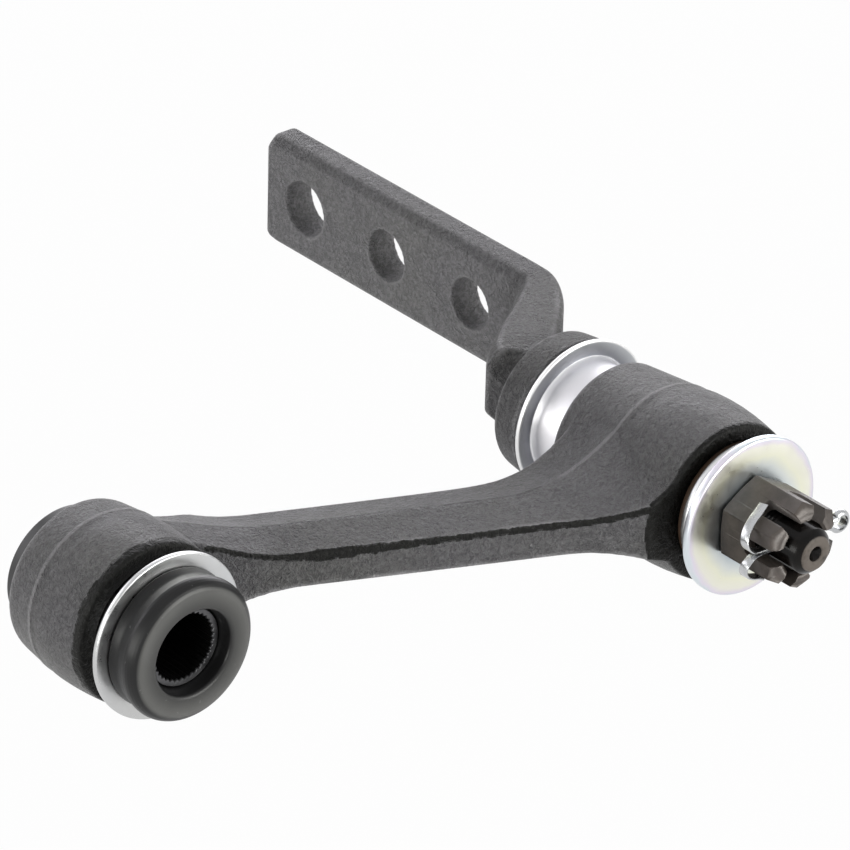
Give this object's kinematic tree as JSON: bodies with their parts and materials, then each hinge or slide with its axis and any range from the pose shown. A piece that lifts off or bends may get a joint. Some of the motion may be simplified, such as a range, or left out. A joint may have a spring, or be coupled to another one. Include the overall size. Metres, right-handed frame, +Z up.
{
  "type": "steering idler arm",
  "caption": "Forged steering idler arm: an offset three-hole bracket carries a rubber-bushed arm on its shaft, held by a slotted nut and split pin, with a bushed eye at the free end.",
  "frame": {"origin": "on the pivot axis, in the parting plane of the arm's pivot boss", "axes": "+Y along the pivot axis from the nut towards the bolt plate, +Z up through the plate's width, the arm reaching towards -X"},
  "size_m": [0.2079, 0.2451, 0.0482],
  "materials": {
    "bracket_coat": "satin charcoal dip coat on a forging",
    "arm_coat": "satin charcoal dip coat on a forging",
    "spool_zinc": "bright zinc plate",
    "sleeve_steel": "turned steel",
    "shell_steel": "drawn steel",
    "pivot_rubber": "matte moulded rubber",
    "thrust_ring_zinc": "bright zinc plate",
    "washer_zinc": "zinc plate with a yellow and violet passivate",
    "nut_phosphate": "dark phosphate",
    "pin_zinc": "bright zinc wire",
    "link_shell_zinc": "bright zinc plate",
    "link_rubber": "smooth satin rubber",
    "link_sleeve_steel": "serrated steel bore"
  },
  "bodies": {
    "bracket": {"frame_bracket": "bracket_coat", "rear_spool": "spool_zinc", "pivot_sleeve": "sleeve_steel", "thrust_ring": "thrust_ring_zinc", "flat_washer": "washer_zinc", "castle_nut": "nut_phosphate", "split_pin": "pin_zinc"},
    "arm": {"idler_arm": "arm_coat", "rear_bush_shell": "shell_steel", "front_bush_shell": "shell_steel", "rear_bush_rubber": "pivot_rubber", "front_bush_rubber": "pivot_rubber", "link_bush_shell": "link_shell_zinc", "link_bush_rubber": "link_rubber"},
    "link_sleeve": {"link_sleeve": "link_sleeve_steel"}
  },
  "joints": [
    {"name": "arm_swing", "type": "hinge", "parent": "bracket", "child": "arm", "pos_m": [0, 0, 0], "axis": [0, 1, 0], "range_deg": [-45, 45]},
    {"name": "link_twist", "type": "hinge", "parent": "arm", "child": "link_sleeve", "pos_m": [-0.1568, 0, 0.001], "axis": [0, 1, 0], "range_deg": [-30, 30], "stiffness_Nm_per_rad": 0.8}
  ]
}
